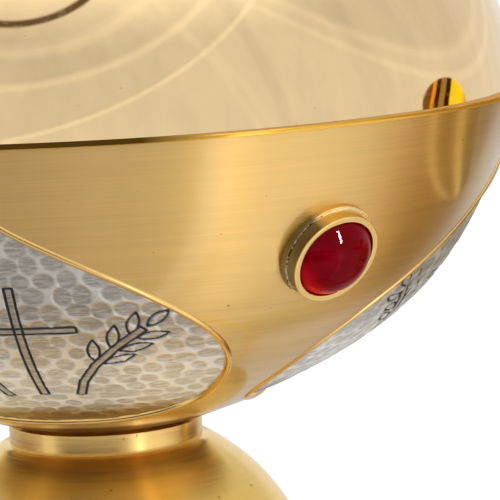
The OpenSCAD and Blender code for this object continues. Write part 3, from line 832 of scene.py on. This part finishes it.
def motif():
    """Every engraved line piece, and the middle lines of the bars, on the flattened panel."""
    bars = [[(0, 0), (0, CROSS_LENGTH)], [(-CROSS_ARM, CROSS_ARM_AT), (CROSS_ARM, CROSS_ARM_AT)]]
    lines = []
    for path in bars:
        lines += bar_lines(path)
    for side in (-1, 1):
        lines += wheat_lines(side)
        bars.append(stalk_points(side))
    middles = [(Vector(a), Vector(b)) for path in bars for a, b in zip(path[:-1], path[1:])]
    return lines, middles


def distance_to(lines, x, y):
    """Distance from each point to the nearest of the line pieces."""
    best = np.full(x.shape, 1e9)
    for a, b in lines:
        dx, dy = b[0] - a[0], b[1] - a[1]
        t = np.clip(((x - a[0]) * dx + (y - a[1]) * dy) / (dx * dx + dy * dy + 1e-12), 0, 1)
        best = np.minimum(best, np.hypot(x - a[0] - t * dx, y - a[1] - t * dy))
    return best


# ---- Hammer marks ----

def hammer_marks(x, y, spread, seed, pitch=3.4, size=1.90):
    """How deep a point lies in its nearest hammer mark, 0 to 1, on a flat sheet measured in mm.
    spread is (lowest x, highest x, lowest y, highest y)."""
    rng = np.random.default_rng(seed)
    rows = np.arange(spread[2], spread[3], pitch * 0.87)
    depth = np.zeros(x.shape)
    for k, row in enumerate(rows):
        centres = np.arange(spread[0], spread[1], pitch) + (k % 2) * pitch / 2
        cx = centres + rng.uniform(-0.50, 0.50, len(centres))
        cy = row + rng.uniform(-0.45, 0.45, len(centres))
        radius = size * rng.uniform(0.80, 1.12, len(centres))
        stretch = rng.uniform(0.85, 1.15, len(centres))
        near = np.abs(y - row) < 3.0
        px, py = x[near], y[near]
        best = depth[near]
        for u, v, r, s in zip(cx, cy, radius, stretch):
            reach = np.abs(px - u) < 2.8
            d2 = (((px[reach] - u) * s) ** 2 + ((py[reach] - v) / s) ** 2) / (r * r)
            best[reach] = np.maximum(best[reach], np.clip(1 - d2, 0, 1))
        depth[near] = best
    return depth


def panel(q, lines, middles):
    """Hammered and engraved silver plate, its edge tucked under the wire."""
    rows, columns = 290, 560
    tuck = 0.5 * MM
    low_length, high_length = arc_length(PANEL_TOP) + tuck, arc_length(PANEL_LOW) - tuck
    length = np.linspace(low_length, high_length, rows)
    depth = depth_at(length)
    spread = (depth_at(length) - depth_at(low_length)) / (depth_at(high_length) - depth_at(low_length))
    half = flank_angle(PANEL_TOP + (PANEL_LOW - PANEL_TOP) * spread) * 0.985
    across = np.linspace(-1, 1, columns)
    angle = half[:, None] * across[None, :]
    deep = np.repeat(depth[:, None], columns, 1)
    x = cup_r(deep) * angle / MM
    y = np.repeat(length[:, None], columns, 1) / MM
    ink_distance = distance_to(lines, x, y - MOTIF_TOP)
    middle_distance = distance_to(middles, x, y - MOTIF_TOP)
    ink = 1 - smooth(ink_distance, 0.17, 0.27)
    in_bar = 1 - smooth(middle_distance, BAR - 0.15, BAR + 0.1)
    dish = hammer_marks(x, y, (-32, 32, y.min() - 2, y.max() + 2), 40 + q)
    dish = smooth(dish, 0.0, 0.6) * (1 - in_bar)
    sunk = PANEL_SUNK + MM * (0.12 * dish + 0.14 * ink + 0.10 * in_bar)
    obj = grid_object(f"plate_{QUARTERS[q]}", cup_point(deep, angle, sunk))
    # Painted reflection: the bottom edge of the panel is tinted gold, for the gilt knop and neck that it
    # reflects.
    warm = smooth(y, y.max() - 11, y.max() - 2)
    # Painted light: the lower part of the panel, facing down, is made paler and less metallic.
    lightened = smooth(y, y.min() + 14, y.min() + 34) * (1 - smooth(y, y.max() - 12, y.max() - 4))
    for name, values in (("dish", dish), ("ink", ink), ("warm", warm), ("bar", in_bar), ("lightened", lightened)):
        mark(obj, name, values)
    obj.data.transform(Matrix.Rotation(q * math.pi / 2, 4, "Z"))
    for polygon in obj.data.polygons:
        polygon.use_smooth = True
    return obj


def tarnish(at):
    """How dark the lip is at each point: darkest at the front, fading to both sides; partly a set-in tarnish
    stain, partly a painted reflection of the dark room in front.
    """
    turned = np.degrees(np.arctan2(at[:, 0], -at[:, 1]))
    return np.where(turned < -20, smooth(turned, -70, -40), 1 - 0.75 * smooth(turned, 13, 30))


def from_rim(drop, outline):
    """Corners (out, up, fillet) in mm, counted from the rim's outer edge or from a drop below it."""
    return [(RIM_R + out * MM, RIM_Z - drop + up * MM, fillet * MM) for out, up, fillet in outline]


def lip():
    """The burnished lip of the inner cup, upright outside, and the inner cup below it."""
    wall = 2.5 * MM
    inner = [(cup_r(d) - wall * np.cos(cup_slope(d)), RIM_Z - d + wall * np.sin(cup_slope(d)))
             for d in np.linspace(2 * MM, CUP_DEPTH - 3 * MM, 60)]
    upper = [(-0.35, -0.005, 0.06), (-2.0, -0.01, 0.1), (-2.9, -1.2, 0.2)]
    outline = [(-0.01, -LIP_H / MM, 0.02), (0, 0.04 - LIP_H / MM, 0), (0, -0.09, 0), (0, -0.02, 0.04)] + upper
    section = rounded([(cup_r(LIP_H) - 1.2 * MM, RIM_Z - LIP_H - 0.2 * MM, 0)] + from_rim(0, outline), 5)
    section += inner + [(0.0, RIM_Z - CUP_DEPTH + wall)]
    obj = lathe("cup_lip", section, 256, closed=False)
    at = points_of(obj)
    # The lip's front is darkened: partly tarnish, partly a painted reflection of the dark room in front.
    mark(obj, "tarnish_and_shade", tarnish(at) * (at[:, 2] > RIM_Z - LIP_H - 0.01 * MM))
    return obj


def lip_edge():
    """Bright edge where the inner cup is rolled over the shell."""
    outline = ((-0.60, 0.0, 0), (-0.02, 0.0, 0.06), (0.03, 0.10, 0.06), (-0.04, 0.18, 0.03), (-0.60, 0.18, 0))
    obj = lathe("cup_lip_edge", rounded(from_rim(LIP_H + 0.02 * MM, outline), 5), 256)
    # Half as dark as the lip at the front: partly tarnish, partly a painted reflection of the dark room.
    mark(obj, "tarnish_and_shade", 0.5 * tarnish(points_of(obj)))
    return obj


def at_stone(q):
    """The place of a stone's setting: its +Z comes out of the cup."""
    angle = math.radians(45 + 90 * q)
    place = cup_point(STONE_DEPTH, angle).tolist()
    normal = Vector(cup_normal(STONE_DEPTH, angle).tolist())
    turn = Vector((0, 0, 1)).rotation_difference(normal).to_matrix().to_4x4()
    return Matrix.Translation(place) @ turn


def round_the_stone(obj, q, degrees, half_width, fade):
    """1 in a sector of a setting, measured anticlockwise from its right as seen from outside."""
    turn = at_stone(q).to_3x3()
    normal = turn @ Vector((0, 0, 1))
    upward = (Vector((0, 0, 1)) - normal * normal.z).normalized()
    right = upward.cross(normal)
    up, right = turn.transposed() @ upward, turn.transposed() @ right
    at = points_of(obj)
    angle = np.degrees(np.arctan2(at @ np.array(up), at @ np.array(right)))
    off = np.abs((angle - degrees + 180) % 360 - 180)
    return 1 - smooth(off, half_width - fade, half_width + fade)


def setting(q):
    """Cylindrical setting with a flat rubbed-over edge."""
    bright_from = SETTING_TOP - 0.24
    section = rounded([(7.50, -0.50, 0), (7.50, 0.42, 0.10), (7.04, 0.50, 0.08), (SETTING_R, 0.80, 0.1),
                       (SETTING_R, bright_from, 0), (SETTING_R, SETTING_TOP, 0.14), (6.12, SETTING_TOP, 0.08),
                       (6.02, STONE_GIRDLE, 0.06), (6.02, 0.55, 0), (0.0, 0.55, 0)], 4)
    obj = lathe(f"setting_{q + 1}", in_metres(section), 128, closed=False)
    # Painted shade: the wall below its bright top edge is darkened on the setting's left side.
    lower_wall = points_of(obj)[:, 2] < (bright_from + 0.01) * MM
    mark(obj, "tarnish_and_shade", round_the_stone(obj, q, 176, 52, 6) * lower_wall)
    obj.matrix_world = at_stone(q)
    return obj


def solder(q):
    """Uneven seam of solder round the foot of a setting."""
    rng = np.random.default_rng(70 + q)
    phases = rng.uniform(0, 2 * math.pi, 9)

    def wave(angle, section):
        lumps = sum(np.sin((3 + 2.6 * k) // 1 * angle + phases[k]) / (2 + 0.5 * k) for k in range(9))
        return 0.045 * MM * lumps * (section[:, 1:] > 0.1 * MM)

    section = rounded([(6.9, -0.2, 0), (7.46, -0.2, 0.1), (7.44, 0.30, 0.15), (7.28, 0.48, 0.15),
                       (7.03, 0.56, 0.1), (6.9, 0.5, 0)], 3)
    obj = lathe(f"solder_{q + 1}", in_metres(section), 180, wobble=wave)
    # Painted shade on the left side of each seam.
    mark(obj, "tarnish_and_shade", round_the_stone(obj, q, 180, 58, 14))
    obj.matrix_world = at_stone(q)
    return obj


def foil_disc(q):
    """The foil under a stone."""
    section = [(0.0, 0.62), (5.90, 0.62), (5.96, 0.60), (5.96, 0.57), (0.0, 0.57)]
    obj = lathe(f"foil_{q + 1}", in_metres(section), 96, closed=False)
    obj.matrix_world = at_stone(q)
    return obj


def cabochon(name, radius, seat, face, bulge):
    """A domed stone with a straight girdle, as one closed skin."""
    ball = (radius ** 2 + bulge ** 2) / (2 * bulge)
    top = ball_section(ball, face + bulge - ball, ball - bulge, ball * 0.99999, 26)
    section = rounded([(0.0, seat, 0), (radius - 0.15, seat, 0), (radius, seat + 0.15, 0)])
    section = section + [(radius, face - 0.02)] + top[1:] + [(0.0, face + bulge)]
    return lathe(name, in_metres(section), 96, closed=False)


def make_cup(paints):
    wall, underside = cup_wall()
    finished(wall, "foot", "satin_gold", paints["lacquered"], "cup_shell")
    finished(underside, "foot", "satin_gold", paints["satin"])
    finished(lip(), "foot", "polished_gold", paints["lip"], "cup_liner")
    finished(lip_edge(), "foot", "polished_gold", paints["lip"])
    lines, middles = motif()
    for q, name in enumerate(QUARTERS):
        finished(panel(q, lines, middles), "foot", "hammered_silver", paints["silver"], "panel_" + name)
        finished(border(q), "foot", "polished_gold", paints["wire"], "border_" + name)
    for q in range(4):
        finished(setting(q), "foot", "polished_gold", paints["setting"], f"bezel_{q + 1}")
        finished(solder(q), "foot", "polished_gold", paints["solder"])
        finished(foil_disc(q), "foot", "red_glass", paints["foil"])
        stone = cabochon(f"cabochon_{q + 1}", STONE_R, STONE_SEAT, STONE_GIRDLE, STONE_BULGE)
        at = points_of(stone)
        edge = smooth(np.hypot(at[:, 0], at[:, 1]), 3.6 * MM, 5.9 * MM)
        mark(stone, "glow", edge * round_the_stone(stone, q, 250, 50, 34))
        stone.matrix_world = at_stone(q)
        finished(stone, "foot", "red_glass", paints["ruby"], f"stone_{q + 1}")


# ---- Stem, knop and foot ----

# Radius of the hole down the stem, in mm
STEM_BORE = 3.3
# Inner and outer edge of the foot's silver band, and the heights of its face there, in mm
BAND_R = (53.6, 70.1)
BAND_Z = (12.55, 4.95)
# Height where the foot's flare ends in its flat rim, in mm
FLARE_END = 16.0


def turned(name, node, corners, body, slot, material, segments=160):
    """A turned piece from its section's corners (radius, height, fillet) in mm."""
    return finished(lathe(name, rounded(in_metres(corners)), segments), body, slot, material, node)


def plain_ring(name, node, edge, material, slot="satin_gold"):
    low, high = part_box(node)
    r, bottom, top = high.x / MM, low.z / MM, high.z / MM
    corners = [(STEM_BORE, bottom, 0), (r, bottom, edge), (r, top, edge), (STEM_BORE, top, 0)]
    return turned(name, node, corners, "foot", slot, material)


def make_knop(paints):
    low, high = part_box("knop")
    radius = high.x
    middle = (low.z + high.z) / 2
    half = (high.z - low.z) / 2
    bore = STEM_BORE * MM
    section = [(bore, low.z)] + ball_section(radius, middle, -half, half, 90) + [(bore, high.z)]
    finished(lathe("knop_ball", section, 256), "foot", "satin_gold", paints["knop"], "knop")


def make_stem(paints):
    plain_ring("ring_above_knop", "neck_ring", 0.12, paints["ring"])
    plain_ring("ring_below_knop", "lower_ring", 0.12, paints["ring"])
    plain_ring("neck_recess", "neck_disc", 0.05, paints["recess"], "plain_brass")
    plain_ring("foot_recess", "lower_disc", 0.05, paints["recess"], "plain_brass")
    make_knop(paints)


def flare(height, inset=0.0):
    """Radius of the foot's flare at a height, in mm."""
    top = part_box("foot_shell")[1].z / MM
    return 14.6 + 33.4 * ((top - height) / (top - FLARE_END)) ** 2.6 - inset


def hammered_ring(name, inner, outer, place, drop, seed, gap=None, rows=56, columns=1200):
    """A hammered silver ring with two engraved border lines. place(radius, sunk) gives the height of its
    face; gap(radius) is half of the angle left open at angle 0; drop is the thickness."""
    v = np.linspace(0, outer - inner, rows)
    radius = inner + v
    start = gap(radius) if gap else np.zeros(rows)
    across = np.linspace(0, 1, columns)
    angle = start[:, None] + across[None, :] * (2 * math.pi - 2 * start[:, None])
    x = angle * (inner + outer) / 2
    y = np.repeat(v[:, None], columns, 1)
    dish = smooth(hammer_marks(x, y, (-2, x.max() + 2, -2, v.max() + 3), seed), 0.0, 0.6)
    edge = np.minimum(y, v.max() - y)
    ink = 1 - smooth(np.abs(edge - 1.2), 0.10, 0.24)
    height = place(np.repeat(radius[:, None], columns, 1), 0.12 * dish + 0.14 * ink)
    points = np.stack([np.repeat(radius[:, None], columns, 1), height, angle], -1)
    skirt = [0, -1]
    low = points[skirt].copy()
    low[..., 1] -= drop
    points = np.concatenate([low[:1], points, low[1:]], 0)
    dish, ink = (np.concatenate([a[:1], a, a[-1:]], 0) for a in (dish, ink))
    r, h, a = points[..., 0] * MM, points[..., 1] * MM, points[..., 2]
    obj = grid_object(name, np.stack([r * np.sin(a), r * np.cos(a), h], -1))
    mark(obj, "dish", dish)
    mark(obj, "ink", ink)
    mark(obj, "lightened", np.full(dish.shape, 0.35))
    return shade(obj, 50)


def make_foot(paints):
    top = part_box("foot_shell")[1].z / MM
    heights = np.linspace(top - 0.2, FLARE_END, 60)
    corners = [(3.4, top, 0), (14.5, top, 0.12)] + [(flare(z), z, 0) for z in heights]
    corners += [(48.3, 15.98, 0.1), (49.5, 15.7, 0.7), (50.0, 14.2, 0.5), (52.9, 12.65, 0.2), (53.5, 11.9, 0),
                (70.0, 4.3, 0), (70.9, 5.0, 0.25), (72.4, 4.7, 0.4), (73.4, 3.5, 0.1), (70.5, 3.5, 0),
                (70.5, 0.6, 0), (69.5, 0.6, 0), (69.5, 2.6, 0), (52.0, 10.2, 0), (47.6, 12.6, 0.4)]
    corners += [(flare(z, 1.2), z, 0) for z in np.linspace(FLARE_END, top - 4, 30)] + [(3.4, top - 1.2, 0)]
    turned("foot_flare", "foot_shell", corners, "foot", "satin_gold", paints["foot"], 256)

    def place(radius, sunk):
        return BAND_Z[0] - (radius - BAND_R[0]) * (BAND_Z[0] - BAND_Z[1]) / (BAND_R[1] - BAND_R[0]) - sunk

    band = hammered_ring("foot_silver", *BAND_R, place, 0.45, 61, columns=1400)
    finished(band, "foot", "hammered_silver", paints["silver"], "foot_band")


# ---- Cover ----

# Inner and outer edge of the glory's silver ring, and half of the gap that the post takes from it, in mm
GLORY_R = (35.6, 46.4)
POST_GAP = 7.1


def make_dome(paints):
    low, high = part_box("dome")
    radius, height, wall = high.x, high.z - low.z + 0.05 * MM, 0.9 * MM
    lean = 0.06
    tall = height / (1 - math.sin(lean))
    outer = [(radius * math.cos(a) / math.cos(lean), RIM_Z + tall * (math.sin(a) - math.sin(lean)))
             for a in np.linspace(lean, math.pi / 2 - 0.05, 110)]
    inner = [((radius - wall) * math.cos(a), RIM_Z + (height - wall) * math.sin(a))
             for a in np.linspace(math.pi / 2 - 0.05, 0, 60)]
    finished(lathe("cover_dome", outer + inner, 256), "cover", "polished_gold", paints["dome"], "dome")


def make_post(paints):
    """The collar on the dome and the turned post up to the luna's case."""
    low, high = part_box("dome_collar")
    foot, base, edge = low.z / MM + 0.4, high.z / MM, high.x / MM
    corners = [(3.4, foot, 0), (edge - 0.4, foot, 0), (edge, base - 1.6, 0.5), (edge - 0.2, base - 0.7, 0.5),
               (edge - 1.4, base, 0.4), (3.4, base, 0)]
    turned("cover_collar", "dome_collar", corners, "cover", "satin_gold", paints["ring"])
    ball = 7.4
    corners = [(3.4, base, 0), (8.5, base, 0.2), (8.5, base + 1.2, 0.5), (5.2, base + 2.6, 0.9)]
    corners += [(r, z, 0) for r, z in ball_section(ball, base + 11, -6.7, 6.7, 40)]
    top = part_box("case_drum")[0].z / MM + 0.25
    corners += [(3.2, base + 19.2, 1.0), (3.0, base + 22, 0.6), (6.5, base + 23.5, 0.5),
                (6.5, base + 24.8, 0.5), (3.0, base + 26, 0.8), (3.0, top, 0), (1.0, base + 29, 0),
                (1.0, base, 0)]
    turned("luna_stem", "luna_post", corners, "cover", "satin_gold", paints["ring"])


def facing_front(obj):
    """Turns a ring about Z, with angle 0 at +Y, into the luna's front face, with angle 0 at its foot."""
    middle = Vector((0, 0, LUNA_Z))
    obj.data.transform(Matrix.Translation(middle) @ Matrix.Rotation(math.pi, 4, "Y")
                       @ Matrix.Rotation(math.pi / 2, 4, "X"))
    return obj


def bead_row(name, radius, gap):
    """A row of small round beads lying in a circle, open at angle 0."""
    size = 0.6
    count = round((2 * math.pi - 2 * gap) * radius / (2.02 * size))
    turn = np.linspace(0, 2 * math.pi, 12, endpoint=False)
    climb = np.linspace(-math.pi / 2, math.pi / 2, 9)
    ball = size * np.stack([np.cos(climb)[:, None] * np.cos(turn), np.cos(climb)[:, None] * np.sin(turn),
                            np.repeat(np.sin(climb)[:, None], 12, 1)], -1).reshape(-1, 3)
    faces = grid_faces(9, 12, wrap_columns=True)
    verts, all_faces = [], []
    for k in range(count + 1):
        a = gap + (2 * math.pi - 2 * gap) * k / count
        all_faces += [[i + len(verts) for i in f] for f in faces]
        verts += ((ball + (radius * math.sin(a), radius * math.cos(a), 1.4)) * MM).tolist()
    return shade(clean(new_object(name, verts, all_faces), 1e-8), 60)


def make_glory(paints):
    """The silver ring on the sunburst and its two rows of beads, open at the foot for the post."""
    def gap(radius):
        return np.arcsin(POST_GAP / radius)

    def place(radius, sunk):
        return 1.48 - sunk

    ring = hammered_ring("glory_plate", *GLORY_R, place, 0.66, 62, gap, rows=40, columns=1000)
    finished(facing_front(ring), "cover", "hammered_silver", paints["silver"], "glory_silver")
    for name, radius in (("inner", GLORY_R[0] - 0.7), ("outer", GLORY_R[1] + 0.7)):
        row = bead_row("beads_" + name, radius, float(gap(radius)) + 0.012)
        finished(facing_front(row), "cover", "polished_gold", paints["mirror"], "glory_bead_" + name)


# Width of the rounded edges on the CAD parts that stay as they are, in mm
SOFT_EDGES = {
    "sunburst": 0.35, "top_cross": 0.4, "front_bezel": 0.25, "door_frame": 0.2, "door_knob": 0.2,
    "latch_button": 0.2, "latch_screw": 0.15, "glory_bezels": 0.12, "case_drum": 0.12, "door_retainer": 0.15,
    "foot_nut": 0.3, "post_nut": 0.3, "lunette_socket": 0.15,
}


def soften_edges():
    """Small rounded edges on the CAD parts that stay as they are."""
    for name, width in SOFT_EDGES.items():
        edge = frame["nodes"][name].modifiers.new("soft_edges", "BEVEL")
        edge.width = width * MM
        edge.segments = 2
        edge.limit_method = "ANGLE"
        edge.angle_limit = math.radians(40)
        edge.harden_normals = True


# ---- Build ----

def make_paints():
    return {
        "satin": satin_gold("satin_gold"),
        "lacquered": satin_gold("lacquered_satin", lacquer=1.0),
        "knop": satin_gold("satin_knop", color=(0.88, 0.59, 0.16, 1), roughness=0.22, grain=0.4),
        "ring": satin_gold("satin_ring", color=(0.91, 0.59, 0.21, 1), roughness=0.18),
        "foot": satin_gold("satin_foot", roughness=0.26),
        "mirror": polished_gold("polished_gold"),
        "dome": polished_gold("polished_dome", color=(0.87, 0.65, 0.36, 1), roughness=0.03),
        "lip": polished_gold("burnished_lip", color=(0.98, 0.57, 0.10, 1), roughness=0.06, wear=0.8,
                             darken=1.15, edge=(0.80, 0.55, 0.20, 1)),
        "wire": polished_gold("burnished_wire", color=(0.88, 0.58, 0.21, 1), roughness=0.14),
        "setting": polished_gold("polished_setting", color=(0.88, 0.61, 0.22, 1), roughness=0.09,
                                 wear=0.8, darken=0.9),
        "solder": solder_paint("hard_solder"),
        "foil": foil("pink_foil"),
        # Painted shade: the brass discs in the stem's recesses are painted dark brown.
        "recess": plain_brass("shaded_brass", color=(0.30, 0.13, 0.02, 1), roughness=0.34),
        "brass": plain_brass("plain_brass"),
        "silver": hammered_silver("hammered_silver"),
        "ruby": ruby_glass("ruby_glass"),
        "glass": clear_glass("clear_glass"),
    }


NODE_PAINTS = {
    "satin_gold": "satin", "polished_gold": "mirror", "plain_brass": "brass",
    "hammered_silver": "silver", "red_glass": "ruby", "clear_glass": "glass",
}


def paint_cad_nodes(paints):
    """The CAD nodes that stay visible get the material of their slot."""
    slots = {s["node"]: s["material_slot"] for s in frame["record"]["subparts"]}
    for name, obj in frame["nodes"].items():
        obj.data.materials.clear()
        obj.data.materials.append(paints[NODE_PAINTS[slots[name]]])
        shade(obj, 30)


make_camera()
make_world()
make_floor()
paints = make_paints()
paint_cad_nodes(paints)
make_cup(paints)
make_stem(paints)
make_foot(paints)
make_dome(paints)
make_post(paints)
make_glory(paints)
soften_edges()
make_strip()

bpy.context.scene.view_settings.view_transform = "Standard"
